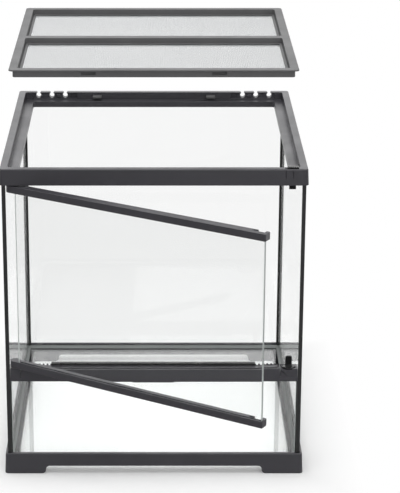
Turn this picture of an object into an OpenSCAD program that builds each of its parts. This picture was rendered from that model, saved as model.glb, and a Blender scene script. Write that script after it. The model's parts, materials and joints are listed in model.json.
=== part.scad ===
// Front-opening glass terrarium: a glass tank held between two moulded plastic frames,
// with a hinged glass door, a vent rail under it and a screen lid that lifts off.
// X runs to the right, Y to the rear and Z up. The origin is the centre of the footprint
// on the table. The lid is drawn lifted off and the door part open.

/* [Tank] */
// Inside width between the side panes
inside_w = 300; // [260:1:450]
// Inside depth between the front and rear planes of glass
inside_d = 300; // [260:1:450]
// Height from the table to the top of the rim
total_h = 336; // [290:1:480]
// Thickness of the fixed panes
glass_t = 4; // [3:0.5:6]
// Bedding gap between a pane and the frame around it
bed = 0.4; // [0.2:0.1:0.8]
// Radius of the silicone fillets
seal_r = 2.6; // [1.5:0.1:4]

/* [Base frame] */
// Height of the base frame
base_h = 22.5; // [21:0.5:35]
// Thickness of the base skirt at its top edge
base_wall = 2.2; // [1.8:0.1:4]
// How far the base skirt spreads outwards on its way down
base_draft = 0.9; // [0.2:0.1:1.5]
// Height of the ledge that carries the panes
floor_z = 14; // [13:0.5:17]
// Thickness of that ledge
floor_ledge_t = 2.5; // [2:0.1:4]
// How far the ledge reaches in past the inner faces of the panes
floor_seat = 7; // [5:0.5:10]
// Thickness of the lip under the ledge's inner edge
lip_t = 2; // [1.6:0.1:3]
// Length of each foot along the skirt
foot_l = 43.4; // [30:0.1:60]
// Height of the arch between two feet
arch_h = 8.5; // [6:0.5:9.5]
// Radius of the arch's corners
arch_r = 4; // [2:0.5:4.5]
// Thickness of the stiffening ribs under the ledge
rib_t = 1.6; // [1.2:0.1:2.4]

/* [Top frame] */
// Height of the top frame's fascia
top_h = 17; // [16:0.5:22]
// Thickness of the fascia at its lower edge
top_wall = 2.1; // [1.8:0.1:3]
// How far the fascia leans in on its way up
top_draft = 0.8; // [0.2:0.1:1.2]
// Depth of solid rim above the panes
rim_t = 9; // [8.8:0.1:10]
// How far the rim reaches in past the inner faces of the panes
rim_reach = 2; // [1.5:0.1:3]
// Depth of the lid's seat below the rim
seat_drop = 8.5; // [8:0.1:8.7]
// How far the lid's seat reaches in past the inner faces of the panes
seat_reach = 11.5; // [10.5:0.1:13]
// Thickness of the lid's seat
seat_t = 2.5; // [2:0.1:3]
// Drop of the lip at the seat's inner edge, measured from the seat
seat_lip = 6.7; // [5:0.1:7.5]
// Radius of the frames' upright corners
corner_r = 4; // [3:0.5:6]
// Radius of the frames' top edges
edge_r = 1.2; // [0.6:0.1:1.6]
// Radius of the openings' inner corners
inner_r = 3; // [1:0.5:6]

/* [Cable inlets] */
// Inlets on each side of the rear rim
inlet_n = 3; // [2:1:3]
// Distance from the side panes' inner faces to the last inlet
inlet_end = 16.9; // [16:0.1:24]
// Distance between two inlets
inlet_pitch = 15.3; // [13:0.1:15.5]
// Radius of an inlet's round seat
inlet_r = 2.95; // [2:0.05:3]
// Depth of the seat's centre below the rim
inlet_z = 3.5; // [3.2:0.1:4]
// Width of the throat above the seat
throat_w = 2.9; // [2:0.1:3.4]
// Width of the funnel at the rim
funnel_w = 5.4; // [4.5:0.1:6]
// Thickness of a sliding shutter
shutter_t = 1.8; // [1.4:0.1:2]
// Length of shutter past its first and last slot centre
shutter_end = 5.8; // [5:0.1:7]

/* [Lid catches] */
// Distance from the first inlet to the catch beside it
catch_inset = 37; // [32:0.5:50]
// Width of a catch
catch_w = 10; // [8:0.5:12]
// Height of a catch's tongue
catch_h = 2.3; // [1.8:0.1:2.6]
// Depth of the tongue's top below the rim
catch_z = 3.2; // [3:0.1:3.4]

/* [Vent rail] */
// Height of the rail's ledge above the table
ledge_z = 118; // [90:0.5:150]
// Height of the rail's fascia
fascia_h = 14; // [13:0.5:20]
// Thickness of the fascia
fascia_t = 2; // [1.6:0.1:2.4]
// Depth of the rail from front to rear
rail_d = 14; // [13.6:0.1:16]
// Thickness of the ledge
rail_ledge_t = 2.4; // [2:0.1:3]
// Height of the rail's web below the ledge's top
web_drop = 7; // [6.5:0.1:8]
// Thickness of the web and of the leg behind the window pane
web_t = 2; // [1.6:0.1:2.4]
// Width of the air gap behind the fascia
air_gap = 2.6; // [2:0.1:2.8]
// Distance between the rail's cross ribs
cross_pitch = 34; // [25:1:45]
// Width of the joint beside an end block
joint_w = 0.8; // [0.5:0.1:1.2]
// Length of the left end block
block_l = 10.4; // [9.8:0.1:12]
// Length of the right end block
block_r = 17.6; // [17.2:0.1:19]
// Depth of an end block's front tongue
tongue_h = 9.4; // [8.5:0.1:10]
// Width of the finger lip under the middle of the fascia
finger_w = 43; // [20:1:80]

/* [Vent grille] */
// Distance between two slots
slot_pitch = 4.1; // [3.6:0.1:5]
// Width of a slot
slot_w = 2.05; // [1.6:0.05:2.3]
// Thickness of the comb
comb_t = 2; // [1.6:0.1:2.2]
// Height of the teeth above the ledge
comb_rise = 0.9; // [0.6:0.1:1.4]
// Distance from the side panes to the sliding strip, at least
strip_end = 43; // [42:0.5:60]
// Slots left of the strip's first one
lead_n = 4; // [2:1:4]
// Slots right of the strip's last one
tail_n = 6; // [2:1:6]
// Thickness of the sliding strip
strip_t = 1.4; // [1.2:0.1:1.8]

/* [Door] */
// Angle that the door is drawn open
door_angle = 31; // [10:1:80]
// Thickness of the door pane
door_glass_t = 3; // [2.5:0.1:3.4]
// Depth of a door rail from front to rear
door_d = 10; // [9.6:0.1:10.4]
// Height of a door rail
door_rail_h = 7.3; // [6.8:0.1:9]
// Gap above and below the door
door_gap = 1.2; // [1:0.1:2]
// Gap beside the door's hinge end
hinge_gap = 0.4; // [0.3:0.1:0.6]
// Gap beside the door's free end
free_gap = 1; // [0.8:0.1:2]
// Wall in front of the door pane
door_front = 1.6; // [1.4:0.1:1.8]
// Depth of pane held in each rail
door_seat = 3.5; // [2.5:0.1:4.5]
// Rail left closed past each end of the pane
pane_end = 1.5; // [1:0.1:3]
// Radius of the hinge pins
pin_r = 2; // [1.5:0.1:2.4]
// Running clearance between pin and bush
pin_play = 0.05; // [0.03:0.01:0.09]
// Outer radius of the hinge bushes
bush_r = 4; // [3.4:0.1:4.2]
// Length of a bush in its seat
bush_l = 6; // [4:0.5:6.5]

/* [Latches] */
// Distance from the side pane's inner face to both latches when unlocked
latch_end = 9.5; // [9.2:0.1:10]
// How far a latch slides to lock
latch_travel = 4.5; // [3.5:0.1:4.6]
// Width of a latch peg
peg_w = 7; // [5:0.1:7.2]
// Thickness of a latch peg
peg_t = 2.4; // [2:0.1:2.6]
// Wall of door rail that a locked peg sits behind
keep_t = 1.4; // [1.2:0.1:1.6]
// How far the top peg hangs below the top frame
peg_drop = 6.5; // [4:0.1:6.6]
// Height of the bottom peg above the vent rail's ledge
post_h = 12; // [8:0.5:16]
// Width of the thumb tab on the rim
tab_w = 11.5; // [11.2:0.1:13]
// Clearance around sliding pieces
slide_gap = 0.3; // [0.2:0.05:0.35]

/* [Lid] */
// How far the lid is drawn above its seat
lid_lift = 100; // [20:1:150]
// Gap between the lid's flange and the rim
lid_gap = 3; // [2:0.1:4]
// Overhang of the flange past the skirt
flange_out = 3.8; // [3:0.1:4.5]
// Thickness of the flange
flange_t = 1.6; // [1.4:0.1:2.2]
// Width of the lid's border, from the flange's edge to the window
border_w = 8.6; // [8:0.1:10]
// Thickness of the lid's walls
lid_wall = 1.4; // [1.2:0.1:1.6]
// Width of the bar across the lid
crossbar_w = 10; // [9:0.5:16]
// Width of the ledge under the mesh
mesh_ledge = 3; // [2:0.1:4]
// Thickness of the mesh
mesh_t = 0.6; // [0.4:0.1:1]
// Thickness of the rings that hold the mesh down
ring_t = 1; // [0.8:0.1:1.6]
// Width of a catch slot in the skirt
skirt_slot_w = 14.4; // [13:0.1:16]

/* [Hidden] */
$fn = 48;
eps = 0.01;
past = 1;
plastic = "#46454a";
plastic_light = "#5a5a5c";
black = "#161616";
steel = "#c9ccce";
clear = [0.82, 0.90, 0.90, 0.35];

half_w = inside_w / 2;
half_d = inside_d / 2;
glass_x = half_w + glass_t;
glass_y = half_d + glass_t;

// base frame
base_w = 2 * (glass_x + bed + base_wall + base_draft);
base_d = 2 * (glass_y + bed + base_wall + base_draft);
well_x = glass_x + bed;
well_y = glass_y + bed;
floor_open_x = half_w - floor_seat;
floor_open_y = half_d - floor_seat;
under_ledge = floor_z - floor_ledge_t;
rib_n = 5;

// front plane: edge strips, window pane and vent rail
strip_edge_t = 1;
window_gap = 1;
window_y = -(glass_y - fascia_t - slide_gap / 2);
window_top = ledge_z - web_drop - web_t;

// top frame
top_w = 2 * (glass_x + bed + top_wall);
top_d = 2 * (glass_y + bed + top_wall);
under_top = total_h - top_h;
seat_z = total_h - seat_drop;
pane_top = total_h - rim_t;
rim_x = half_w - rim_reach;
rim_y = half_d - rim_reach;
open_x = half_w - seat_reach;
open_y = half_d - seat_reach;
fascia_groove = 0.5;

// cable inlets and their shutters
last_inlet = half_w - inlet_end;
inlet_x = last_inlet - (inlet_n - 1) * inlet_pitch;
catch_x = inlet_x - catch_inset;
shutter_travel = inlet_pitch / 2;
shutter_h = seat_drop - 2 * slide_gap - 1.2;
guide_t = 1.5;
guide_h = 2;
nib = [4, 3.4, 2.4];

// door
hinge_x = -(half_w - hinge_gap - door_d / 2);
hinge_y = -(glass_y - door_d / 2);
door_l = half_w - free_gap - hinge_x;
door_z = [ledge_z + door_gap, under_top - door_gap];
door_pane_y = -door_d / 2 + door_front;
pane_play = 0.1;
flange_rise = door_gap - slide_gap;

// latches: peg faces measured from the door's own middle plane
peg_front = door_pane_y + door_glass_t + pane_play + 1 + slide_gap;
peg_y = [hinge_y + peg_front, hinge_y + peg_front + peg_t];
notch_y = [peg_front - slide_gap, door_d / 2 - keep_t];
stem_y = -(rim_y + 1.5 + slide_gap);
latch_x = half_w - latch_end;
arm_z = [total_h - 14.6, total_h - 12];
plate_t = 1.5;
plate_z = ledge_z - 0.7;
lobe_r = 4.3;
plate_w = 14.7;
neck_w = 4;
keeper = [6, 4.8, 1.5];
keeper_z = ledge_z - 5.2;

// vent rail
rail_front = -glass_y;
rail_back = rail_front + rail_d;
web_z = ledge_z - web_drop;
left_joint = -half_w + slide_gap + block_l;
right_joint = half_w - slide_gap - block_r;
strip_n = 2 * floor((half_w - strip_end) / slot_pitch);
comb_n = lead_n + strip_n + tail_n;
comb_x = -(lead_n + strip_n / 2) * slot_pitch;
comb_l = comb_n * slot_pitch;
strip_x = -strip_n / 2 * slot_pitch;
strip_l = strip_n * slot_pitch;
comb_base = web_z - 3.3;
comb_top = ledge_z + comb_rise;
strip_y = rail_back + slide_gap;
strip_top = comb_top + slide_gap + 1.2;

// lid
lid_z = total_h + lid_lift;
lid_x = rim_x - lid_gap;
lid_y = rim_y - lid_gap;
skirt_x = lid_x - flange_out;
skirt_y = lid_y - flange_out;
window_x = lid_x - border_w;
window_lid_y = lid_y - border_w;
mesh_z = -seat_drop + lid_wall;

// ---- shared shapes ----

// A box between two values on each axis
module block(x, y, z) {
    translate([x[0], y[0], z[0]]) cube([x[1] - x[0], y[1] - y[0], z[1] - z[0]]);
}

// A plan outline with rounded corners, given by its half sizes
module round_plan(hx, hy, r) {
    square([2 * (hx - r), 2 * hy], center = true);
    square([2 * hx, 2 * (hy - r)], center = true);
    for (sx = [-1, 1], sy = [-1, 1]) translate([sx * (hx - r), sy * (hy - r)]) circle(r);
}

module round_block(hx, hy, r, z) {
    translate([0, 0, z[0]]) linear_extrude(z[1] - z[0]) round_plan(hx, hy, r);
}

// Wall steps [inset, height] of a skirt that leans in by lean and ends in a rounded edge
function leaning_wall(h, lean, r) = concat([[0, 0]],
    [for (a = [0:30:90]) [lean + r * (1 - cos(a)), h - r + r * sin(a)]]);

module wall_section(w, wall) {
    n = len(wall);
    polygon([for (p = wall) [w / 2 - p[0], p[1]],
        for (i = [n - 1:-1:0]) [wall[i][0] - w / 2, wall[i][1]]]);
}

// A solid block with round upright corners whose faces follow the wall steps
module moulded_block(w, d, r, wall) {
    rotate([90, 0, 0]) linear_extrude(d - 2 * r, center = true) wall_section(w, wall);
    rotate([90, 0, 90]) linear_extrude(w - 2 * r, center = true) wall_section(d, wall);
    for (sx = [-1, 1], sy = [-1, 1]) translate([sx * (w / 2 - r), sy * (d / 2 - r), 0])
        rotate_extrude() polygon([[0, wall[0][1]], for (p = wall) [r - p[0], p[1]],
            [0, wall[len(wall) - 1][1]]]);
}

// Channels along both sides and the rear, between two distances from the panes' inner faces
module side_channels(a, b, front, z) {
    for (s = [-1, 1]) {
        xs = [s * (half_w + a), s * (half_w + b)];
        block([min(xs), max(xs)], [front, half_d + b], z);
    }
    block([-half_w - b, half_w + b], [half_d + a, half_d + b], z);
}

// ---- tank ----

// Half of the arch from its foot up to its crown: a round foot corner, then a round crown
function arch_side(half_l) = concat(
    [for (a = [-90:15:0]) [half_l + arch_r - arch_r * cos(a), arch_r + arch_r * sin(a)]],
    [for (a = [0:15:90]) [half_l - arch_r + arch_r * cos(a), arch_h - arch_r + arch_r * sin(a)]]);

module arch_outline(half_l) {
    side = arch_side(half_l);
    n = len(side);
    foot = half_l + arch_r;
    polygon(concat([[foot, -past]], side, [for (i = [n - 1:-1:0]) [-side[i][0], side[i][1]]],
        [[-foot, -past]]));
}

module rib_row(half_l, reach) {
    inner = reach - (well_y - floor_open_y - lip_t);
    end_x = half_l + arch_r + rib_t / 2;
    for (i = [0:rib_n + 1]) {
        x = i == 0 ? -end_x : i == rib_n + 1 ? end_x : (i / (rib_n + 1) * 2 - 1) * half_l;
        for (s = [-1, 1])
            translate([x - rib_t / 2, s > 0 ? inner - past : -reach - eps, 0])
                cube([rib_t, reach - inner + past + eps, under_ledge + past]);
    }
}

module base_frame() {
    half_arch_x = base_w / 2 - foot_l;
    half_arch_y = base_d / 2 - foot_l;
    color(plastic) difference() {
        moulded_block(base_w, base_d, corner_r, leaning_wall(base_h, base_draft, edge_r));
        block([-well_x, well_x], [window_y - bed, well_y], [floor_z, base_h + past]);
        for (s = [-1, 1]) translate([s * (glass_x - glass_t / 2), 0, floor_z])
            translate([-glass_t / 2 - bed, -well_y, 0])
                cube([glass_t + 2 * bed, well_y, base_h]);
        round_block(floor_open_x, floor_open_y, inner_r, [-past, base_h]);
        difference() {
            block([-well_x, well_x], [-well_y, well_y], [-past, under_ledge]);
            round_block(floor_open_x + lip_t, floor_open_y + lip_t, inner_r + lip_t,
                [-2 * past, base_h]);
            rib_row(half_arch_x, well_y);
            rotate([0, 0, 90]) rib_row(half_arch_y, well_x);
        }
        rotate([90, 0, 0]) linear_extrude(base_d + 2 * past, center = true)
            arch_outline(half_arch_x);
        rotate([90, 0, 90]) linear_extrude(base_w + 2 * past, center = true)
            arch_outline(half_arch_y);
    }
}

module floor_glass() {
    color(clear) block([-half_w, half_w], [window_y + glass_t, half_d],
        [floor_z, floor_z + glass_t]);
}

module side_glass(s) {
    color(clear) block([min(s * half_w, s * glass_x), max(s * half_w, s * glass_x)],
        [strip_edge_t - glass_y, glass_y], [floor_z, pane_top]);
}

module rear_glass() {
    color(clear) block([-half_w, half_w], [half_d, glass_y], [floor_z, pane_top]);
}

module front_window_glass() {
    color(clear) block([window_gap - half_w, half_w - window_gap],
        [window_y, window_y + glass_t], [floor_z, window_top]);
}

module front_edge_strips() {
    color(black) for (s = [-1, 1])
        block([min(s * half_w, s * glass_x), max(s * half_w, s * glass_x)],
            [-glass_y, strip_edge_t - glass_y], [floor_z, pane_top]);
}

module rear_corner_seals() {
    color(black) for (s = [-1, 1]) translate([s * half_w, half_d, floor_z + glass_t + seal_r])
        linear_extrude(total_h - seat_drop - seat_lip - floor_z - glass_t - seal_r)
            difference() {
                translate([-s * seal_r / 2, -seal_r / 2]) square(seal_r, center = true);
                translate([-s * seal_r, -seal_r]) circle(seal_r);
            }
}

module window_seals() {
    color(black) for (s = [-1, 1])
        block([min(s * half_w, s * (half_w - window_gap)), max(s * half_w, s * (half_w - window_gap))],
            [window_y, window_y + glass_t], [floor_z, ledge_z - fascia_h]);
}

// A fillet round the floor, with a sloping face
module floor_seal() {
    front = window_y + glass_t;
    half_l = (half_d - front) / 2;
    color(black) translate([0, (front + half_d) / 2, floor_z + glass_t]) difference() {
        block([-half_w, half_w], [-half_l, half_l], [0, seal_r]);
        intersection() {
            rotate([90, 0, 0]) linear_extrude(2 * half_d, center = true) flared_cut(half_w);
            rotate([90, 0, 90]) linear_extrude(2 * half_w, center = true) flared_cut(half_l);
        }
    }
}

module flared_cut(half) {
    polygon([[seal_r - half, -past], [half - seal_r, -past], [half - seal_r, 0],
        [half, seal_r], [half, seal_r + past], [-half, seal_r + past], [-half, seal_r],
        [seal_r - half, 0]]);
}

// ---- top frame ----

// A funnel, a throat and a round seat, drawn with the rim's top at height 0
module inlet_outline(top) {
    translate([0, -inlet_z]) circle(inlet_r);
    translate([-throat_w / 2, -inlet_z]) square([throat_w, inlet_z + top]);
    polygon([[-funnel_w / 2, top], [-funnel_w / 2, 0], [-throat_w / 2, -1.5],
        [throat_w / 2, -1.5], [funnel_w / 2, 0], [funnel_w / 2, top]]);
}

module inlets(y, top) {
    for (i = [0:inlet_n - 1])
        translate([inlet_x + i * inlet_pitch, y[1], total_h]) rotate([90, 0, 0])
            linear_extrude(y[1] - y[0]) inlet_outline(top);
}

module shutter_pocket() {
    block([inlet_x - shutter_end - shutter_travel - slide_gap,
        last_inlet + shutter_end + slide_gap],
        [rim_y - past, rim_y + shutter_t + 2 * slide_gap], [seat_z, total_h - 1.2]);
}

module shutter_guide() {
    block([inlet_x - shutter_end - shutter_travel, last_inlet + shutter_end],
        [rim_y - guide_t, rim_y], [seat_z - eps, seat_z + guide_h]);
}

module catch_window() {
    block([catch_x - catch_w / 2, catch_x + catch_w / 2], [rim_y - past, half_d],
        [seat_z, total_h - catch_z]);
}

module latch_passage() {
    xs = [latch_x - latch_travel - peg_w / 2 - slide_gap, latch_x + peg_w / 2 + slide_gap];
    block(xs, [stem_y - peg_t - slide_gap, stem_y + slide_gap], [under_top, total_h + past]);
    block(xs, [stem_y - peg_t - slide_gap, peg_y[1] + slide_gap],
        [under_top - past, arm_z[1] + slide_gap]);
}

module top_frame() {
    color(plastic) {
        difference() {
            translate([0, 0, under_top])
                moulded_block(top_w, top_d, corner_r, leaning_wall(top_h, top_draft, edge_r));
            round_block(rim_x, rim_y, inner_r, [seat_z, total_h + past]);
            round_block(open_x, open_y, inner_r, [under_top - past, total_h]);
            side_channels(-bed, glass_t + bed, -well_y, [under_top - past, pane_top]);
            side_channels(lip_t - seat_reach, -bed - lip_t, -open_y,
                [under_top - past, seat_z - seat_t]);
            block([-half_w, half_w], [-open_y, half_d],
                [under_top - past, seat_z - seat_lip]);
            for (s = [0, 1]) mirror([s, 0, 0]) {
                inlets([half_d - 4, top_d], past);
                shutter_pocket();
                for (t = [0, 1]) mirror([0, t, 0]) catch_window();
            }
            latch_passage();
            translate([hinge_x, hinge_y, under_top - past]) cylinder(r = bush_r, h = bush_l + past);
            for (x = [latch_x - 7.4, latch_x])
                block([x - 0.3, x + 0.3], [-top_d, top_draft + fascia_groove - top_d / 2],
                    [total_h - 9.5, total_h - edge_r]);
        }
        for (s = [0, 1]) mirror([s, 0, 0]) shutter_guide();
    }
}

module lid_catches() {
    color(plastic_light) for (sx = [-1, 1], sy = [0, 1]) mirror([0, sy, 0])
        translate([sx * catch_x, 0, 0]) {
            block([-catch_w / 2, catch_w / 2], [half_d - 1, half_d],
                [seat_z, total_h - catch_z]);
            block([-catch_w / 2, catch_w / 2], [skirt_y + 0.5, half_d],
                [total_h - catch_z - catch_h, total_h - catch_z]);
        }
}

module inlet_shutter(s) {
    z0 = seat_z + slide_gap;
    y0 = rim_y + slide_gap;
    color(plastic) mirror([s < 0 ? 1 : 0, 0, 0]) {
        difference() {
            block([inlet_x - shutter_end, last_inlet + shutter_end],
                [y0, y0 + shutter_t], [z0, z0 + shutter_h]);
            inlets([y0 - past, y0 + shutter_t + past], past);
        }
        translate([inlet_x + inlet_pitch / 2 - nib[0] / 2, y0 - nib[1],
            total_h - inlet_z - nib[2] / 2]) cube([nib[0], nib[1] + eps, nib[2]]);
    }
}

// ---- vent rail ----

module rail_section() {
    // fascia, ledge, web and the leg behind the window pane, as [distance from front, height]
    translate([0, ledge_z - fascia_h]) square([fascia_t, fascia_h]);
    translate([fascia_t + air_gap, ledge_z - rail_ledge_t])
        square([rail_d - fascia_t - air_gap - comb_t, rail_ledge_t]);
    translate([0, web_z - web_t]) square([rail_d - comb_t, web_t]);
    translate([fascia_t + glass_t + slide_gap, ledge_z - fascia_h])
        square([web_t, fascia_h - web_drop]);
}

module rail_core(x) {
    block(x, [rail_front, rail_back], [web_z - eps, ledge_z]);
}

module vent_rail() {
    inner_x = [left_joint + joint_w, right_joint - joint_w];
    color(plastic) difference() {
        union() {
            translate([-half_w, rail_front, 0]) rotate([90, 0, 90])
                linear_extrude(inside_w) rail_section();
            rail_core([inner_x[0], comb_x]);
            rail_core([comb_x + comb_l, inner_x[1]]);
            for (x = [comb_x + cross_pitch:cross_pitch:comb_x + comb_l - cross_pitch / 2])
                block([x - rib_t / 2, x + rib_t / 2],
                    [rail_front + fascia_t - eps, rail_back - comb_t],
                    [web_z - eps, ledge_z - rail_ledge_t + eps]);
            translate([0, rail_front, ledge_z - fascia_h]) rotate([90, 0, 90])
                linear_extrude(finger_w, center = true)
                    polygon([[0, 0], [0, 1], [fascia_t, 1], [fascia_t, -1], [0.6, -1]]);
        }
        block([-half_w - past, inner_x[0]], [rail_front - past, rail_back + past],
            [web_z, ledge_z + past]);
        block([-half_w - past, inner_x[0]], [rail_front - past, rail_front + fascia_t],
            [ledge_z - tongue_h, ledge_z + past]);
        block([inner_x[1], half_w + past], [rail_front - past, rail_back + past],
            [web_z, ledge_z + past]);
        block([inner_x[1], half_w + past], [rail_front - past, rail_front + fascia_t],
            [ledge_z - tongue_h, ledge_z + past]);
        for (x = [comb_x + slot_pitch:slot_pitch:comb_x])
            block([x, x + slot_w], [rail_back - comb_t, rail_back], [web_z, ledge_z]);
        latch_recess();
    }
}

// One end block, from its outer end to its joint
module end_block(x) {
    block(x, [rail_front, rail_back], [web_z, ledge_z]);
    block(x, [rail_front, rail_front + fascia_t], [ledge_z - tongue_h, ledge_z]);
}

module vent_end_block_left() {
    color(plastic) difference() {
        end_block([slide_gap - half_w, left_joint]);
        translate([hinge_x, hinge_y, ledge_z - bush_l]) cylinder(r = bush_r, h = bush_l + past);
    }
}

// The swept outline of the bottom latch's plate
module latch_plate(grow) {
    translate([0, (peg_y[0] + peg_y[1]) / 2]) {
        for (s = [-1, 1]) translate([s * (plate_w / 2 - lobe_r), 0]) circle(lobe_r + grow);
        translate([-peg_w / 2 - grow, -6.6 - grow]) square([peg_w + 2 * grow, 11.6 + 2 * grow]);
    }
}

module latch_recess() {
    translate([latch_x, 0, plate_z - slide_gap]) linear_extrude(ledge_z) {
        for (x = [0, -latch_travel]) translate([x, 0]) latch_plate(slide_gap);
        translate([-latch_travel - peg_w / 2 - slide_gap, rail_front - past])
            square([latch_travel + peg_w + 2 * slide_gap, 12]);
        translate([-latch_travel - plate_w / 2 + lobe_r, (peg_y[0] + peg_y[1]) / 2 - lobe_r - slide_gap])
            square([latch_travel + plate_w - 2 * lobe_r, 2 * (lobe_r + slide_gap)]);
    }
}

module vent_end_block_right() {
    peg_mid = (peg_y[0] + peg_y[1]) / 2;
    color(plastic) difference() {
        end_block([right_joint, half_w - slide_gap]);
        latch_recess();
        block([latch_x - latch_travel - neck_w / 2 - slide_gap, latch_x + neck_w / 2 + slide_gap],
            [peg_y[0] - slide_gap, peg_y[1] + slide_gap], [web_z, ledge_z]);
        block([latch_x - latch_travel - keeper[0] / 2 - slide_gap,
            latch_x + keeper[0] / 2 + slide_gap],
            [peg_mid - keeper[1] / 2 - slide_gap, peg_mid + keeper[1] / 2 + slide_gap],
            [web_z - past, keeper_z + keeper[2] + slide_gap]);
    }
}

module vent_grille() {
    color(plastic) difference() {
        union() {
            block([comb_x, comb_x + comb_l], [rail_back - comb_t, rail_back],
                [comb_base, comb_top]);
            block([comb_x, comb_x + comb_l], [rail_back - comb_t, strip_y + strip_t + 1.3],
                [comb_base, comb_base + 1.5]);
            block([comb_x, comb_x + comb_l],
                [strip_y + strip_t + slide_gap, strip_y + strip_t + 1.3],
                [comb_base, comb_base + 3]);
        }
        for (i = [0:comb_n - 1])
            block([comb_x + (i + 0.5) * slot_pitch - slot_w / 2,
                comb_x + (i + 0.5) * slot_pitch + slot_w / 2],
                [rail_back - comb_t - past, rail_back + past], [web_z, comb_top + past]);
    }
}

module vent_shutter() {
    front = rail_back - comb_t - slide_gap;
    xs = [strip_x, strip_x + strip_l];
    color(black) difference() {
        union() {
            block(xs, [strip_y, strip_y + strip_t], [comb_base + 1.5 + slide_gap, strip_top]);
            block(xs, [front - 0.9, strip_y + eps], [comb_top + slide_gap, strip_top]);
            block(xs, [front - 0.9, front], [ledge_z + slide_gap, strip_top]);
        }
        for (i = [0:strip_n - 1])
            block([strip_x + (i + 0.5) * slot_pitch - slot_w / 2,
                strip_x + (i + 0.5) * slot_pitch + slot_w / 2],
                [strip_y - eps, strip_y + strip_t + past], [web_z, ledge_z - rail_ledge_t]);
    }
}

// ---- door ----

// Places the door, drawn closed with its hinge axis at the origin, at its drawn angle
module at_hinge() {
    translate([hinge_x, hinge_y, 0]) rotate([0, 0, -door_angle]) children();
}

module rail_plan() {
    r = 1.2;
    circle(door_d / 2);
    translate([0, -door_d / 2]) square([door_l - r, door_d]);
    translate([door_l - 2 * r, r - door_d / 2]) square([2 * r, door_d - 2 * r]);
    for (s = [-1, 1]) translate([door_l - r, s * (door_d / 2 - r)]) circle(r);
}

pane_x = [door_d / 2 + pane_end, door_l - pane_end];
peg_from_hinge = latch_x - hinge_x;

module door_rail(z, pane_z, notch_z, pin_z) {
    color(plastic) at_hinge() difference() {
        translate([0, 0, z]) linear_extrude(door_rail_h) rail_plan();
        block([pane_x[0], pane_x[1]], [door_pane_y - pane_play,
            door_pane_y + door_glass_t + pane_play], pane_z);
        block([peg_from_hinge - peg_w / 2 - slide_gap, peg_from_hinge + peg_w / 2 + 0.8],
            [notch_y[0], door_d], notch_z);
        block([peg_from_hinge - latch_travel - peg_w / 2 - slide_gap,
            peg_from_hinge + peg_w / 2 + 0.8], notch_y, notch_z);
        translate([0, 0, pin_z]) cylinder(r = pin_r, h = door_rail_h);
    }
}

module door_top_rail() {
    z = door_z[1] - door_rail_h;
    door_rail(z, [z - past, z + door_seat],
        [under_top - peg_drop - slide_gap, door_z[1] + past], z + 1.5);
}

module door_bottom_rail() {
    z = door_z[0];
    door_rail(z, [z + door_rail_h - door_seat, z + door_rail_h + past],
        [z - past, z + door_rail_h + past], z - 1.5);
}

module door_glass() {
    color(clear) at_hinge() block(pane_x, [door_pane_y, door_pane_y + door_glass_t],
        [door_z[0] + door_rail_h - door_seat, door_z[1] - door_rail_h + door_seat]);
}

module hinge_pins() {
    top = door_z[1] - door_rail_h + 1.5;
    bottom = ledge_z - bush_l + slide_gap;
    color(steel) translate([hinge_x, hinge_y, 0]) {
        translate([0, 0, top]) cylinder(r = pin_r, h = under_top + bush_l - slide_gap - top);
        translate([0, 0, bottom]) cylinder(r = pin_r, h = door_z[0] + door_rail_h - 1.5 - bottom);
    }
}

module hinge_bush(z, flange_z) {
    difference() {
        union() {
            translate([0, 0, z]) cylinder(r = bush_r, h = bush_l);
            translate([0, 0, flange_z]) cylinder(r = bush_r + 0.6, h = flange_rise);
        }
        translate([0, 0, z - bush_l]) cylinder(r = pin_r + pin_play, h = 3 * bush_l);
    }
}

module hinge_bushes() {
    color(plastic_light) translate([hinge_x, hinge_y, 0]) {
        hinge_bush(under_top, under_top - flange_rise);
        hinge_bush(ledge_z - bush_l, ledge_z);
    }
}

// ---- latches ----

module top_latch() {
    xs = [latch_x - peg_w / 2, latch_x + peg_w / 2];
    color(black) {
        block(xs, [stem_y - peg_t, stem_y], [arm_z[0], total_h + slide_gap]);
        block(xs, [stem_y - peg_t, peg_y[1]], arm_z);
        block(xs, peg_y, [under_top - peg_drop, arm_z[1]]);
    }
}

module top_latch_tab() {
    z = total_h + slide_gap;
    ridge_n = 5;
    mid = stem_y - peg_t / 2;
    color(black) {
        block([latch_x - tab_w / 2, latch_x + tab_w / 2], [mid - 3.2, mid + 2.4], [z, z + 1.2]);
        for (i = [0:ridge_n - 1])
            translate([latch_x + (i - (ridge_n - 1) / 2) * 2.1 - 0.5, mid - 3, z + 1.2 - eps])
                cube([1, 5.2, 0.6]);
    }
}

module bottom_latch() {
    peg_mid = (peg_y[0] + peg_y[1]) / 2;
    color(black) {
        translate([latch_x, 0, plate_z]) linear_extrude(plate_t) latch_plate(0);
        translate([latch_x, peg_y[1], ledge_z]) rotate([90, 0, 0]) linear_extrude(peg_t)
            post_outline();
        block([latch_x - neck_w / 2, latch_x + neck_w / 2], peg_y,
            [keeper_z + keeper[2], plate_z + eps]);
    }
}

// The upright post, with rounded shoulders
module post_outline() {
    r = 1.6;
    translate([-peg_w / 2, 0]) square([peg_w, post_h - r]);
    translate([r - peg_w / 2, 0]) square([peg_w - 2 * r, post_h]);
    for (s = [-1, 1]) translate([s * (peg_w / 2 - r), post_h - r]) circle(r);
}

module bottom_latch_keeper() {
    peg_mid = (peg_y[0] + peg_y[1]) / 2;
    color(black) translate([latch_x - keeper[0] / 2, peg_mid - keeper[1] / 2, keeper_z])
        cube(keeper);
}

// ---- lid ----

module lid_windows(hx, y0, y1, r, z) {
    for (s = [-1, 1]) translate([0, s * (y0 + y1) / 2, 0])
        round_block(hx, (y1 - y0) / 2, r, z);
}

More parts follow.
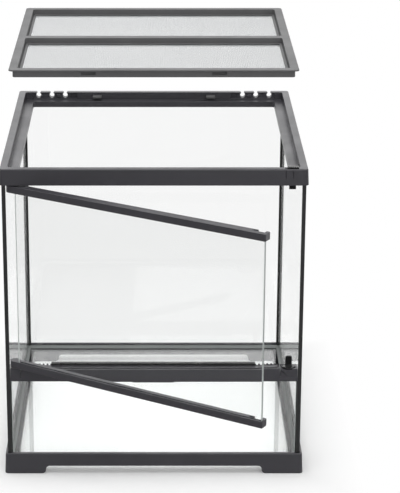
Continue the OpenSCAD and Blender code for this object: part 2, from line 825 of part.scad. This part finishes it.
module lid_frame() {
    half_bar = crossbar_w / 2;
    color(plastic_light) translate([0, 0, lid_z]) difference() {
        union() {
            translate([0, 0, -flange_t]) moulded_block(2 * lid_x, 2 * lid_y, corner_r,
                leaning_wall(flange_t, 0, flange_t / 2));
            round_block(skirt_x, skirt_y, corner_r - 1, [-seat_drop, -flange_t + eps]);
        }
        lid_windows(window_x, half_bar, window_lid_y, inner_r, [mesh_z, past]);
        lid_windows(window_x - mesh_ledge, half_bar + mesh_ledge, window_lid_y - mesh_ledge,
            inner_r, [-seat_drop - past, past]);
        difference() {
            round_block(skirt_x - lid_wall, skirt_y - lid_wall, inner_r,
                [-seat_drop - past, -flange_t]);
            lid_windows(window_x + lid_wall, half_bar - lid_wall, window_lid_y + lid_wall,
                inner_r, [-seat_drop - 2 * past, past]);
        }
        for (sx = [-1, 1], sy = [-1, 1])
            translate([sx * catch_x, sy * skirt_y, -catch_z - catch_h / 2])
                cube([skirt_slot_w, 2 * lid_wall, catch_h + 0.9], center = true);
    }
}

module mesh_panel(s) {
    y = [crossbar_w / 2 + bed, window_lid_y - bed];
    color(steel) translate([0, s * (y[0] + y[1]) / 2, lid_z])
        round_block(window_x - bed, (y[1] - y[0]) / 2, inner_r - bed, [mesh_z, mesh_z + mesh_t]);
}

module mesh_ring(s) {
    y = [crossbar_w / 2 + bed, window_lid_y - bed];
    half = (y[1] - y[0]) / 2;
    z = [mesh_z + mesh_t, mesh_z + mesh_t + ring_t];
    color(plastic_light) translate([0, s * (y[0] + y[1]) / 2, lid_z]) difference() {
        round_block(window_x - bed, half, inner_r - bed, z);
        round_block(window_x - mesh_ledge, half - mesh_ledge + bed, inner_r,
            [z[0] - past, z[1] + past]);
    }
}

base_frame();
floor_glass();
side_glass(-1);  // left_glass
side_glass(1);  // right_glass
rear_glass();
front_window_glass();
front_edge_strips();
rear_corner_seals();
window_seals();
floor_seal();
vent_rail();
vent_end_block_left();
vent_end_block_right();
vent_grille();
vent_shutter();
top_frame();
lid_catches();
hinge_bushes();
door_glass();
door_top_rail();
door_bottom_rail();
hinge_pins();
lid_frame();
mesh_panel(1);  // lid_mesh_rear
mesh_panel(-1);  // lid_mesh_front
mesh_ring(1);  // mesh_ring_rear
mesh_ring(-1);  // mesh_ring_front
top_latch();
top_latch_tab();
bottom_latch();
bottom_latch_keeper();
inlet_shutter(-1);  // inlet_shutter_left
inlet_shutter(1);  // inlet_shutter_right
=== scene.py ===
# %% [markdown]
# # A glass terrarium with a screen lid
# A front-opening terrarium is a glass box held between two moulded plastic frames. The
# engineering model already has every part at its real size and place, so this lesson dresses
# it: moulded edges get their small radii, the panes get ground edges, the screen becomes real
# woven wire, and each material gets the fine detail that makes it read as itself.

# %% Set up
import json
import math
import bmesh
import bpy
from mathutils import Matrix, Vector

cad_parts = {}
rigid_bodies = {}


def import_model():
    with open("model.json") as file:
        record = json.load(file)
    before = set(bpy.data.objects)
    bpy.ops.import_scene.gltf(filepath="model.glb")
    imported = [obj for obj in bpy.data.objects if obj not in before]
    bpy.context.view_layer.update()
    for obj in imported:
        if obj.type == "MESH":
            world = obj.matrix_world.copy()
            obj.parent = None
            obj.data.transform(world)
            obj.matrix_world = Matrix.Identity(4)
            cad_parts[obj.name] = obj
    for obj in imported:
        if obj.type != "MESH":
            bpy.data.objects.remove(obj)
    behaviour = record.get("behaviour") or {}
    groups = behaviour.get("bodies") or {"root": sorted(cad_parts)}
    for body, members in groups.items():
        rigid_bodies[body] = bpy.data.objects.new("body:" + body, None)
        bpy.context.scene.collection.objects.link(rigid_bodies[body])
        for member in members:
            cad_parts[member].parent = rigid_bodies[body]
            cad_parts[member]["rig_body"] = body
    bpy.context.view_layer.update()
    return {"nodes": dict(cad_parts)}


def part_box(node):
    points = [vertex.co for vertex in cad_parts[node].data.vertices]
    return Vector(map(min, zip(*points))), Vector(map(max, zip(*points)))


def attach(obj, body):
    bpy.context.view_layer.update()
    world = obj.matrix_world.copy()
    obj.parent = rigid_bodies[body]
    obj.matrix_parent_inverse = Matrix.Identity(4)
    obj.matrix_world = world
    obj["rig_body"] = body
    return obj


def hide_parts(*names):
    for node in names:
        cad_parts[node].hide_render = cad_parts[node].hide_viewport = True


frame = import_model()
MM = 0.001

# %% [markdown]
# ## Node helpers
# Every finish starts from the same three moves: make a material, find its shader, and hang
# texture nodes in front of it. Nodes could be wired one by one each time; small helpers keep
# each finish short enough to read at a glance. All patterns read Object coordinates, which are
# metres here, so a texture scale is simply "features per metre".

# %% Helpers for finishes
def new_finish(name):
    material = bpy.data.materials.new(name)
    material.use_nodes = True
    return material.node_tree, material.node_tree.nodes["Principled BSDF"], material


def node(tree, kind, values=None, **settings):
    made = tree.nodes.new("ShaderNode" + kind)
    for key, value in settings.items():
        setattr(made, key, value)
    for key, value in (values or {}).items():
        made.inputs[key].default_value = value
    return made


def place(tree, stretch=(1, 1, 1)):
    """Object coordinates, stretched along the axes where a pattern needs it"""
    coords = node(tree, "TexCoord")
    mapping = node(tree, "Mapping", {"Scale": stretch})
    tree.links.new(coords.outputs["Object"], mapping.inputs["Vector"])
    return mapping.outputs["Vector"]


def noise(tree, point, scale, detail=2.0, roughness=0.5):
    made = node(tree, "TexNoise", {"Scale": scale, "Detail": detail, "Roughness": roughness})
    tree.links.new(point, made.inputs["Vector"])
    return made.outputs["Fac"]


def remap(tree, value, low, high, start=0.3, end=0.7):
    """A number that runs from low to high while value runs from start to end"""
    made = node(tree, "MapRange", {"From Min": start, "From Max": end,
                                   "To Min": low, "To Max": high})
    tree.links.new(value, made.inputs["Value"])
    return made.outputs["Result"]


def blend(tree, factor, first, second):
    made = node(tree, "Mix", data_type="RGBA")
    made.inputs["A"].default_value = (*first, 1)
    made.inputs["B"].default_value = (*second, 1)
    tree.links.new(factor, made.inputs["Factor"])
    return made.outputs["Result"]


def linear(code):
    """A web colour code as the linear numbers that a shader wants"""
    parts = [int(code[i:i + 2], 16) / 255 for i in (0, 2, 4)]
    return tuple(p / 12.92 if p <= 0.04045 else ((p + 0.055) / 1.055) ** 2.4 for p in parts)


print("web grey 808080 as a linear number:", round(linear("808080")[0], 3))

# %% [markdown]
# ## Moves that several finishes share
# A real surface is never one flat colour, and never quite smooth. Each could be painted or
# sculpted; here a pattern drives both, since it needs no unwrapping and holds at any distance.
# One helper tints a shader between two shades, one raises a bump, and one mixes two shaders.

# %% Tint, bump and mix
def tint(tree, shader, pattern, colour, lighter):
    shades = blend(tree, remap(tree, pattern, 0, 1), linear(colour), linear(lighter))
    tree.links.new(shades, shader.inputs["Base Color"])


def raise_bump(tree, shader, height, strength, depth):
    bump = node(tree, "Bump", {"Strength": strength, "Distance": depth})
    tree.links.new(height, bump.inputs["Height"])
    tree.links.new(bump.outputs["Normal"], shader.inputs["Normal"])


def mix_shader(tree, share, first, second):
    """The second shader takes this share, the first the rest"""
    made = node(tree, "MixShader")
    tree.links.new(share, made.inputs[0])
    tree.links.new(first.outputs[0], made.inputs[1])
    tree.links.new(second.outputs[0], made.inputs[2])
    return made


def show_surface(tree, shader):
    tree.links.new(shader.outputs[0], tree.nodes["Material Output"].inputs["Surface"])


print("shared moves:", tint.__name__, raise_bump.__name__, mix_shader.__name__)

# %% [markdown]
# ## Moulded plastic
# Frames like these are injection moulded in a steel tool whose faces were spark eroded, which
# leaves a fine, even, satin grain with tiny pits less than half a millimetre apart. Real pits
# would take millions of triangles, so a bump from two sizes of noise makes that grain. A
# slow cloud of a few centimetres shifts the roughness, as handling does, and the colour by a
# shade, as flow in the mould does.

# %% Moulded plastic finishes
PITS = 2400
GRAIN_DEPTH = 0.03 * MM
CLOUDS = 24


def moulded_plastic(name, colour, lighter, roughness, grain=0.15, shine=0.5):
    tree, shader, material = new_finish(name)
    point = place(tree)
    fine = noise(tree, point, PITS, 2.0, 0.6)
    coarse = noise(tree, point, PITS / 4, 1.0, 0.5)
    both = node(tree, "Math", {1: 0.6}, operation="MULTIPLY_ADD")
    tree.links.new(coarse, both.inputs[0])
    tree.links.new(fine, both.inputs[2])
    raise_bump(tree, shader, both.outputs["Value"], grain, GRAIN_DEPTH)
    cloud = noise(tree, point, CLOUDS, 3.0, 0.55)
    tint(tree, shader, cloud, colour, lighter)
    tree.links.new(remap(tree, cloud, roughness + 0.05, roughness - 0.05),
                   shader.inputs["Roughness"])
    shader.inputs["IOR"].default_value = 1.5
    shader.inputs["Specular IOR Level"].default_value = shine
    return material


charcoal = moulded_plastic("charcoal_moulded", "3e3d42", "434247", 0.34, shine=0.6)
lid_grey = moulded_plastic("lid_moulded", "5c5c5d", "626263", 0.5, grain=0.3)
gloss_black = moulded_plastic("latch_gloss_black", "0e0e0f", "131314", 0.16, grain=0.08)
strip_black = moulded_plastic("strip_black", "121213", "171718", 0.3)
edge_grey = moulded_plastic("edge_strip_grey", "2c2c2d", "313132", 0.4)
print("plastics:", charcoal.name, lid_grey.name, gloss_black.name, strip_black.name,
      edge_grey.name)

# %% [markdown]
# ## Silicone
# Silicone beads hold the panes together, and they are tooled by hand, so they are smooth with
# long soft ripples. Most are black; the one round the floor is clear. Subsurface scattering
# could make the clear one cloudy; letting part of the light through is simpler for a thin bead.

# %% Silicone
RIPPLES = 60
RIPPLE_DEPTH = 0.1 * MM


def silicone_finish(name, colour, lighter, grain=0.3, clear=0.0):
    tree, shader, material = new_finish(name)
    point = place(tree)
    ripple = noise(tree, point, RIPPLES, 2.0, 0.5)
    raise_bump(tree, shader, ripple, grain, RIPPLE_DEPTH)
    tint(tree, shader, ripple, colour, lighter)
    tree.links.new(remap(tree, ripple, 0.3, 0.42), shader.inputs["Roughness"])
    shader.inputs["Transmission Weight"].default_value = clear
    shader.inputs["IOR"].default_value = 1.41
    return material


black_silicone = silicone_finish("black_silicone", "1c1c1c", "242424")
clear_silicone = silicone_finish("clear_silicone", "b4b8b7", "c0c4c3", grain=0.04, clear=0.6)
print("silicones:", black_silicone.name, clear_silicone.name)

# %% [markdown]
# ## Glass
# Float glass is clear through its faces and pale green along its ground edges, which scatter
# part of the light. A transparent shader would be quick, but a transmitting one also bends and
# mirrors the view. For rays that come from lamps it steps aside for a clear one, since a path
# tracer can't find a small lamp through a refracting pane.

# %% Glass
FILM = 9
SMEARS = 14


def glass_finish(name, colour, darker, roughness, shadow, through=1.0):
    """through is the share of light that passes; a ground surface scatters the rest"""
    tree, shader, material = new_finish(name)
    point = place(tree)
    film = remap(tree, noise(tree, point, FILM, 3.0, 0.6), 0, 1)
    tree.links.new(blend(tree, film, colour, darker), shader.inputs["Base Color"])
    smears = noise(tree, point, SMEARS, 4.0, 0.6)
    tree.links.new(remap(tree, smears, *roughness), shader.inputs["Roughness"])
    shader.inputs["Transmission Weight"].default_value = through
    shader.inputs["IOR"].default_value = 1.5
    light = node(tree, "LightPath")
    clear = node(tree, "BsdfTransparent", {"Color": (*shadow, 1)})
    show_surface(tree, mix_shader(tree, light.outputs["Is Shadow Ray"], shader, clear))
    return material


pane = glass_finish("clear_pane", (0.984, 0.988, 0.986), (0.979, 0.984, 0.982), (0.0, 0.006),
                    (0.95, 0.965, 0.96))
pane_edge = glass_finish("ground_pane_edge", (0.60, 0.65, 0.63), (0.54, 0.59, 0.57), (0.3, 0.42),
                         (0.8, 0.85, 0.83), through=0.4)
print("glass:", pane.name, pane_edge.name)

# %% [markdown]
# ## Metal
# The screen is drawn steel wire, dull and even, and the door's pins are turned steel with fine
# rings round them. Anisotropy could stand for the rings; noise squeezed along the pin's own
# axis gives rings that a bump can raise, and the wire shares the same recipe unsqueezed.

# %% Wire and pins
TOOL_LINES = 900
LINE_DEPTH = 0.02 * MM


def metal_finish(name, colour, lighter, roughness, stretch=(1, 1, 1)):
    tree, shader, material = new_finish(name)
    lines = noise(tree, place(tree, stretch), TOOL_LINES, 2.0, 0.5)
    tint(tree, shader, lines, colour, lighter)
    tree.links.new(remap(tree, lines, roughness - 0.06, roughness + 0.08),
                   shader.inputs["Roughness"])
    raise_bump(tree, shader, lines, 0.3, LINE_DEPTH)
    shader.inputs["Metallic"].default_value = 1
    return material


wire_steel = metal_finish("screen_wire", "9fa1a2", "adafb0", 0.46)
pin_steel = metal_finish("turned_pin", "b4b6b8", "cdcfd0", 0.28, stretch=(1, 1, 6))
print("metals:", wire_steel.name, pin_steel.name)

# %% [markdown]
# ## Rounding moulded edges
# A moulded part never has a knife edge: the tool maker breaks every corner by a few tenths of
# a millimetre, and that thin radius is what catches the light. A Bevel node would only shade
# it, so the edges are cut for real. The CAD mesh is loose triangles: a copy is merged first,
# and its flat triangles are dissolved into whole faces, so that only true edges are left.

# %% Whole faces from triangles
MERGE = 0.002 * MM
ON_PLANE = 0.001 * MM
STILL_FLAT = math.radians(0.5)


def box_of(shape):
    return [Vector([pick(v.co[i] for v in shape.verts) for i in range(3)]) for pick in (min, max)]


def whole_faces(shape, middle):
    """Flat triangles become whole faces. A face that runs all round an opening would meet
    itself, so the part is cut through its middle first, and any left becomes triangles"""
    for axis in (Vector((1, 0, 0)), Vector((0, 1, 0))):
        cut = bmesh.ops.bisect_plane(shape, geom=shape.verts[:] + shape.edges[:] + shape.faces[:],
                                     dist=ON_PLANE, plane_co=middle, plane_no=axis)
        for item in cut["geom_cut"]:
            if isinstance(item, bmesh.types.BMEdge):
                item.seam = True
    bmesh.ops.dissolve_limit(shape, angle_limit=STILL_FLAT, use_dissolve_boundaries=False,
                             verts=shape.verts[:], edges=shape.edges[:], delimit={"SEAM"})
    rings = {edge.link_loops[0].face for edge in shape.edges
             if edge.is_manifold and edge.link_loops[0].face == edge.link_loops[1].face}
    bmesh.ops.triangulate(shape, faces=list(rings))


def merged_copy(name):
    shape = bmesh.new()
    shape.from_mesh(frame["nodes"][name].data)
    bmesh.ops.remove_doubles(shape, verts=shape.verts, dist=MERGE)
    low, high = box_of(shape)
    whole_faces(shape, (low + high) / 2)
    return shape, low, high


trial, *_ = merged_copy("base_frame")
print("base_frame in whole faces:", len(trial.faces))
trial.free()

# %% [markdown]
# ## Cutting the radii
# A Bevel modifier would round the edges too, but it has to be applied before its result can be
# trimmed. The operator cuts them at once. Where three edges meet it may push a corner out a
# hair, so each vertex is then held inside the part's own box. Smooth shading is limited to
# shallow angles, so the flats stay crisp.

# %% A rounded copy of a part
SHARP = math.radians(35)
CREASE = math.radians(50)


def new_piece(shape, name):
    """The bmesh becomes an object of this name, and is freed"""
    mesh = bpy.data.meshes.new(name)
    shape.to_mesh(mesh)
    shape.free()
    piece = bpy.data.objects.new(name, mesh)
    bpy.context.scene.collection.objects.link(piece)
    return piece


def rounded_copy(name, radius, segments=2):
    shape, low, high = merged_copy(name)
    sharp = [edge for edge in shape.edges
             if edge.is_manifold and edge.calc_face_angle() > SHARP]
    bmesh.ops.bevel(shape, geom=sharp, offset=radius, offset_type="OFFSET", segments=segments,
                    profile=0.5, affect="EDGES", material=-1, clamp_overlap=False,
                    loop_slide=True)
    for vert in shape.verts:
        vert.co = [min(max(c, a), b) for c, a, b in zip(vert.co, low, high)]
    piece = new_piece(shape, name + "_finished")
    mesh = piece.data
    if "custom_normal" in mesh.attributes:
        mesh.attributes.remove(mesh.attributes["custom_normal"])
    mesh.shade_smooth()
    mesh.set_sharp_from_angle(angle=CREASE)
    return piece


print("edges over", round(math.degrees(SHARP)), "degrees are rounded")

# %% [markdown]
# ## Taking over from the engineering model
# A finished piece could simply lie over the plain one, but then both would show. Instead it
# rides on the same moving body, so the door or lid carries it, and the plain node is replaced.
# Weighting the normals by face area keeps a moulded part's flat faces looking flat.

# %% Stand-ins and moulded parts
def stand_in(piece, name, finish):
    """The piece takes over from a CAD node: same body, its own finish"""
    piece.data.materials.clear()
    for material in finish:
        piece.data.materials.append(material)
    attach(piece, frame["nodes"][name]["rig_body"])
    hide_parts(name)


def moulded(name, radius, finish, segments=2):
    piece = rounded_copy(name, radius * MM, segments)
    weight = piece.modifiers.new("flat faces stay flat", "WEIGHTED_NORMAL")
    weight.keep_sharp = True
    stand_in(piece, name, [finish])
    print(name, "rounded,", len(piece.data.polygons), "faces")

# %% [markdown]
# ## The two frames
# The base frame and the top frame are the big mouldings that hold the panes. Their shapes come
# whole from the engineering model. Their thin ribs would collapse under a big radius, so a
# small one is used throughout. The lid's catches and the shutters of the cable inlets are
# small mouldings of the same kind.

# %% Base frame, top frame, catches and inlet shutters
for name in ("base_frame", "top_frame"):
    moulded(name, 0.3, charcoal)
moulded("lid_catches", 0.25, lid_grey)
for side in ("left", "right"):
    moulded("inlet_shutter_" + side, 0.2, charcoal)

# %% [markdown]
# ## The vent rail
# A ledge crosses the front under the door. Its end blocks carry the door's bottom pin and the
# bottom latch, a comb of narrow slots lets air in, and a black strip slides behind the comb.
# The teeth could be modelled anew, but they are real already: one thin flat on each edge, in
# place of a round, is enough at their size and keeps the mesh light.

# %% Vent rail
for name in ("vent_rail", "vent_end_block_left", "vent_end_block_right"):
    moulded(name, 0.25, charcoal)
moulded("vent_grille", 0.15, charcoal, segments=1)
moulded("vent_shutter", 0.15, strip_black, segments=1)

# %% [markdown]
# ## The door and its latches
# The door is a pane held in two rails, and it turns on two steel pins in plastic bushes. The
# latches are glossy black mouldings, polished so that they slide well. A gloss surface shows
# each facet of a radius, so theirs has three steps, and so has the rails'. The keeper under
# the bottom latch is out of sight and has two.

# %% Door rails, bushes and latches
for name in ("door_top_rail", "door_bottom_rail"):
    moulded(name, 0.4, charcoal, segments=3)
moulded("hinge_bushes", 0.2, lid_grey)
moulded("top_latch", 0.35, gloss_black, segments=3)
moulded("top_latch_tab", 0.25, gloss_black, segments=3)
moulded("bottom_latch", 0.35, gloss_black, segments=3)
moulded("bottom_latch_keeper", 0.3, gloss_black)

# %% [markdown]
# ## The lid
# The lid is one thin moulding: a flange that hides the rim, a skirt that drops into the frame,
# and a ledge low down inside each window. A thin ring on that ledge holds the screen's edge.
# It is a lighter, drier grey than the frames, with a stronger grain, so it has its own finish.

# %% Lid frame and rings
moulded("lid_frame", 0.3, lid_grey)
for window in ("rear", "front"):
    moulded("mesh_ring_" + window, 0.2, lid_grey, segments=1)

# %% [markdown]
# ## Panes of glass
# Each pane is cut, and its sharp edges are ground to a small flat, called an arris. The two
# large faces stay clear; every narrow face gets the ground finish. Faces could be picked by
# their place, but the door pane stands at an angle. The clear faces are those that point the
# way the largest one does, which works for every pane.

# %% Panes
ARRIS = 0.4 * MM
ALIGNED = 0.99


def ground_pane(name):
    piece = rounded_copy(name, ARRIS, segments=1)
    stand_in(piece, name, [pane, pane_edge])
    across = max(piece.data.polygons, key=lambda face: face.area).normal.copy()
    for face in piece.data.polygons:
        face.material_index = 0 if abs(face.normal.dot(across)) > ALIGNED else 1
        face.use_smooth = False
    print(name, "ground, clear faces:",
          sum(face.material_index == 0 for face in piece.data.polygons))


for name in ("floor_glass", "left_glass", "right_glass", "rear_glass", "front_window_glass",
             "door_glass"):
    ground_pane(name)

# %% [markdown]
# ## One woven wire
# The screen is plain weave: each wire passes over one neighbour and under the next. An image
# with holes would be light, but it has no thickness and no real gaps. Here a wire starts as a
# small capped ring and is extruded from crossing to crossing, up and down by its own radius.

# %% Wire
PITCH = 1.8 * MM
WIRE = 0.12 * MM


def woven_wire(along, crossings, lift):
    """One wire from the origin on, over the first crossing if lift is positive"""
    shape = bmesh.new()
    turn = Vector((0, 0, 1)).rotation_difference(along).to_matrix().to_4x4()
    ring = bmesh.ops.create_circle(shape, cap_ends=True, segments=4, radius=WIRE,
                                   matrix=Matrix.Translation((0, 0, lift)) @ turn)
    end = ring["verts"][0].link_faces[0]
    for _ in range(crossings):
        # the old end's edges and corners go in too, or its face would stay inside the wire
        out = bmesh.ops.extrude_face_region(shape, geom=[end, *end.edges, *end.verts])["geom"]
        lift = -lift
        bmesh.ops.translate(shape, verts=[g for g in out if isinstance(g, bmesh.types.BMVert)],
                            vec=along * PITCH + Vector((0, 0, 2 * lift)))
        end = next(g for g in out if isinstance(g, bmesh.types.BMFace))
    bmesh.ops.recalc_face_normals(shape, faces=shape.faces)
    mesh = bpy.data.meshes.new("one_wire")
    shape.to_mesh(mesh)
    shape.free()
    return mesh


print("wire:", round(2 * WIRE / MM, 2), "mm thick, one every", round(PITCH / MM, 1), "mm")

# %% [markdown]
# ## The two screens
# A wire and its mirror are made once and copied across the panel by turns, and the same is done
# the other way. Array modifiers could repeat them, but a plain copy leaves one clean mesh. The
# cut ends are closed, and the ring on the ledge covers them.

# %% Screens
MARGIN = 0.6 * MM


def add_wires(panel, start, along, spaced, counts, lift):
    """Wires that run along one axis, side by side on the other"""
    direction = Vector((0, 0, 0))
    direction[along] = 1
    pair = [woven_wire(direction, counts[along], sign * lift) for sign in (1, -1)]
    for i in range(counts[spaced]):
        before = len(panel.verts)
        panel.from_mesh(pair[i % 2])
        panel.verts.ensure_lookup_table()
        step = Vector((0, 0, 0))
        step[spaced] = i * PITCH
        bmesh.ops.translate(panel, verts=panel.verts[before:], vec=start + step)
    for mesh in pair:
        bpy.data.meshes.remove(mesh)


def woven_panel(name):
    low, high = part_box(name)
    counts = [2 * int((high[i] - low[i] - 2 * MARGIN) / (2 * PITCH)) for i in (0, 1)]
    start = (low + high) / 2 - Vector((*counts, 0)) * PITCH / 2
    panel = bmesh.new()
    add_wires(panel, start, 0, 1, counts, -WIRE)
    add_wires(panel, start, 1, 0, counts, WIRE)
    stand_in(new_piece(panel, name + "_woven"), name, [wire_steel])
    print(name, "woven:", counts[0], "by", counts[1], "wires")


for name in ("lid_mesh_rear", "lid_mesh_front"):
    woven_panel(name)

# %% [markdown]
# ## Parts that keep their CAD shape
# Silicone beads, the dark strips on the side panes and the steel pins are already the right
# shape. Copying them would add nothing, so they only get their finish.

# %% Finish for the parts left as they are
KEPT = {"front_edge_strips": edge_grey, "rear_corner_seals": black_silicone,
        "window_seals": black_silicone, "floor_seal": clear_silicone, "hinge_pins": pin_steel}
for name, finish in KEPT.items():
    mesh = frame["nodes"][name].data
    mesh.materials.clear()
    mesh.materials.append(finish)
print("finished in place:", sorted(KEPT))

# %% [markdown]
# ## What each ray may see
# A white sweep is what a catalogue uses: the floor takes the tank's shadow and fades to white.
# Glass and satin plastic need something darker to mirror, or their shapes are lost. One room
# can't be both, so the shaders ask what kind of ray is looking, which Light Path tells.

# %% Helpers for rays
SIGHT = ("Is Camera Ray", "Is Glossy Ray", "Is Transmission Ray")


def combine(tree, operation, one, other):
    made = node(tree, "Math", operation=operation)
    tree.links.new(one, made.inputs[0])
    tree.links.new(other, made.inputs[1])
    return made.outputs["Value"]


def seen_by(tree, *rays):
    """One where the ray is any of these kinds, nought elsewhere"""
    light = node(tree, "LightPath")
    seen = light.outputs[rays[0]]
    for other in rays[1:]:
        seen = combine(tree, "MAXIMUM", seen, light.outputs[other])
    return seen


def reflected(tree):
    """One for sight that a shiny surface has turned back, even if it passed glass since"""
    made = node(tree, "Math", {1: 0.5}, operation="GREATER_THAN")
    tree.links.new(node(tree, "LightPath").outputs["Glossy Depth"], made.inputs[0])
    return made.outputs["Value"]


print("rays that count as sight:", ", ".join(SIGHT))

# %% [markdown]
# ## Floor
# The floor is a real pale surface that takes shadows, with a little glow that only sight meets.
# A brighter lamp would whiten it too, but it would wash out the shadow. The glow is stronger
# inside the tank than beside its walls, where the shadow falls, and further off the floor is
# plain white. That stronger glow under the tank is painted light: it lifts the shade that the
# tank casts on the floor seen through its glass. To a mirror, the floor in front of the tank is
# the dark end of the room.

# %% Floor finish
SHADOW_IN = (0.12, 0.145)
SHADOW_OUT = (0.155, 0.22)
GLOW = (0.27, 0.15)
FRONT = (-0.3, 0.2)
DARK_END = (0.12, 0.12, 0.12, 1)


def floor_finish():
    """Places are metres out from the middle; the tank's walls stand at 0.15"""
    tree, shader, material = new_finish("studio_white")
    shader.inputs["Base Color"].default_value = (0.9, 0.9, 0.9, 1)
    shader.inputs["Roughness"].default_value = 0.9
    shader.inputs["Specular IOR Level"].default_value = 0.0
    shader.inputs["Emission Color"].default_value = (1, 1, 1, 1)
    split = node(tree, "SeparateXYZ")
    tree.links.new(node(tree, "TexCoord").outputs["Object"], split.inputs["Vector"])
    sizes = []
    for axis in ("X", "Y"):
        size = node(tree, "Math", operation="ABSOLUTE")
        tree.links.new(split.outputs[axis], size.inputs[0])
        sizes.append(size.outputs["Value"])
    reach = combine(tree, "MAXIMUM", *sizes)
    # painted light: the glow is stronger under the tank, lifting the shade the tank casts on the
    # floor seen through its glass
    painted_glow = remap(tree, reach, *GLOW, *SHADOW_IN)
    tree.links.new(combine(tree, "MULTIPLY", painted_glow, seen_by(tree, *SIGHT)),
                   shader.inputs["Emission Strength"])
    far = remap(tree, reach, 0, 1, *SHADOW_OUT)
    sweep = mix_shader(tree, combine(tree, "MULTIPLY", far, seen_by(tree, *SIGHT)), shader,
                       node(tree, "Emission", {"Strength": 1.0}))
    front = remap(tree, split.outputs["Y"], 1, 0, *FRONT)
    room = mix_shader(tree, combine(tree, "MULTIPLY", front, reflected(tree)), sweep,
                      node(tree, "BsdfDiffuse", {"Color": DARK_END}))
    show_surface(tree, room)
    return material


studio_white = floor_finish()
print("floor finish:", studio_white.name)

# %% [markdown]
# ## Laying the floor
# One large square does for a sweep, since its far part is plain white anyway. It lies a hair
# under the feet, because two surfaces at one height would flicker where they touch.

# %% Floor
FLOOR_HALF = 6
FLOOR_DROP = 0.2 * MM


def studio_floor():
    shape = bmesh.new()
    bmesh.ops.create_grid(shape, x_segments=1, y_segments=1, size=FLOOR_HALF)
    bmesh.ops.translate(shape, verts=shape.verts, vec=(0, 0, -FLOOR_DROP))
    floor = new_piece(shape, "studio_floor")
    floor.data.materials.append(studio_white)
    print("floor:", 2 * FLOOR_HALF, "m across")


studio_floor()

# %% [markdown]
# ## World
# The world lights the room from all sides. A picture of a studio could do it, but two numbers
# are enough: full strength for what is looked at, about a third for lighting. To a mirror it
# is dark behind the camera, where Y is near -1, and white from beside the tank on to its rear.

# %% World
LIGHTING = 0.35
MIRROR = (0.2, 1.0)
MIRROR_ENDS = (-0.6, 0.0)


def studio_world():
    world = bpy.data.worlds.new("studio_world")
    bpy.context.scene.world = world
    world.use_nodes = True
    tree = world.node_tree
    back = tree.nodes["Background"]
    back.inputs["Color"].default_value = (1, 1, 1, 1)
    split = node(tree, "SeparateXYZ")
    tree.links.new(node(tree, "TexCoord").outputs["Generated"], split.inputs["Vector"])
    room = remap(tree, split.outputs["Y"], *MIRROR, *MIRROR_ENDS)
    looked_at = seen_by(tree, "Is Camera Ray", "Is Transmission Ray")
    sight = remap(tree, looked_at, LIGHTING, 1.0, 0, 1)
    mirror = node(tree, "Mix", data_type="FLOAT")
    tree.links.new(reflected(tree), mirror.inputs["Factor"])
    tree.links.new(sight, mirror.inputs["A"])
    tree.links.new(room, mirror.inputs["B"])
    tree.links.new(mirror.outputs["Result"], back.inputs["Strength"])
    print("world:", world.name, "lights at", LIGHTING)


studio_world()

# %% [markdown]
# ## Lamps
# A light tent is a few broad, soft lamps. One overhead gives the soft top light, and a weaker
# one in front keeps the front faces readable. A third behind, weaker still, glances off the
# upward faces. Small lamps would draw hard shadows of every thin bar on the floor.

# %% Lamps
AIM = Vector((0, 0, 0.2))


def soft_lamp(name, place_at, size, power):
    data = bpy.data.lights.new(name, "AREA")
    data.shape = "SQUARE"
    data.size = size
    data.energy = power
    lamp = bpy.data.objects.new(name, data)
    bpy.context.scene.collection.objects.link(lamp)
    lamp.location = place_at
    lamp.rotation_euler = (AIM - Vector(place_at)).to_track_quat("-Z", "Y").to_euler()
    print("lamp", name, size, "m wide,", power, "W")


soft_lamp("overhead", (-0.2, -0.1, 1.9), size=1.6, power=20)
soft_lamp("front", (0.6, -2.1, 1.1), size=1.4, power=13)
soft_lamp("behind", (0.0, 2.2, 1.25), size=1.4, power=3)

# %% [markdown]
# ## Camera
# A long lens about two metres away, looking down at eighteen degrees, keeps the uprights almost
# parallel. The tank stands left of the middle. Turning the camera to do that would skew it, so
# the lens is shifted instead, which moves the picture and leaves its perspective alone.

# %% Camera
camera_data = bpy.data.cameras.new("camera")
camera = bpy.data.objects.new("camera", camera_data)
bpy.context.scene.collection.objects.link(camera)
camera.location = (0.0003, -2.0036, 0.9028)
camera.rotation_euler = (math.radians(71.84), 0, 0)
camera_data.lens = 140.4
camera_data.shift_x = 0.093
camera_data.shift_y = -0.081
bpy.context.scene.camera = camera
bpy.context.scene.view_settings.view_transform = "Standard"
print("camera:", round((camera.location - AIM).length, 2), "m from the tank's middle, lens",
      round(camera_data.lens, 1), "mm")
